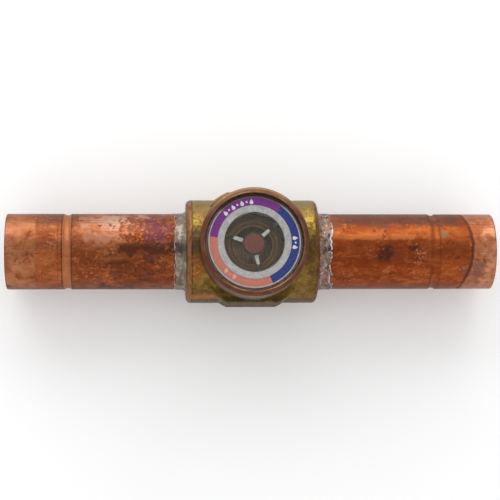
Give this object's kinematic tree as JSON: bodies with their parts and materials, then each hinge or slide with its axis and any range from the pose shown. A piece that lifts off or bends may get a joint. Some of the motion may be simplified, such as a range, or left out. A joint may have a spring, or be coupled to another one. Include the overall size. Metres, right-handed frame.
{
  "type": "refrigerant sight glass",
  "caption": "Brazed-in refrigerant sight glass: barrel body with long solder stubs, round window with colour dial and moisture indicator.",
  "frame": {"origin": "where the pipe axis and the window axis cross, inside the body", "axes": "+X along the pipe from inlet to outlet, +Z out through the window, +Y across the wrench flats"},
  "size_m": [0.2044, 0.0462, 0.0527],
  "materials": {
    "forged_brass": "heat-toned forged brass, satin",
    "copper_tube": "drawn copper, heat tinted",
    "braze_alloy": "silver brazing alloy, rough, with flux residue",
    "browned_brass": "turned brass, browned by heat",
    "spring_steel": "bright strip",
    "plated_steel": "nickel-plated, dull silver",
    "sight_glass": "polished soda-lime glass",
    "printed_dial": "printed film in violet, salmon and blue",
    "ptfe": "white skived sheet",
    "tinned_brass": "pressed brass, tarnished",
    "felt": "off-white felt",
    "indicator_paper": "impregnated filter paper, reddish brown"
  },
  "bodies": {
    "housing": {"body": "forged_brass", "inlet_stub": "copper_tube", "outlet_stub": "copper_tube", "inlet_braze": "braze_alloy", "outlet_braze": "braze_alloy", "glass_shell": "plated_steel", "window_glass": "sight_glass", "colour_dial": "printed_dial", "shell_gasket": "ptfe", "element_cup": "tinned_brass", "element_wick": "felt", "moisture_paper": "indicator_paper", "element_washer": "tinned_brass", "spider_clip": "spring_steel"},
    "washer": {"slip_washer": "spring_steel"},
    "ring": {"window_ring": "browned_brass"}
  },
  "joints": [
    {"name": "ring_lift", "type": "slide", "parent": "housing", "child": "washer", "axis": [0, 0, 1], "range_m": [0, 0.00389]},
    {"name": "ring_turn", "type": "hinge", "parent": "washer", "child": "ring", "pos_m": [0, 0, 0.0266], "axis": [0, 0, 1], "range_deg": [0, 990]}
  ],
  "couplings": [
    {"joint": "ring_lift", "follows": "ring_turn", "m_per_rad": 0.00022457}
  ]
}
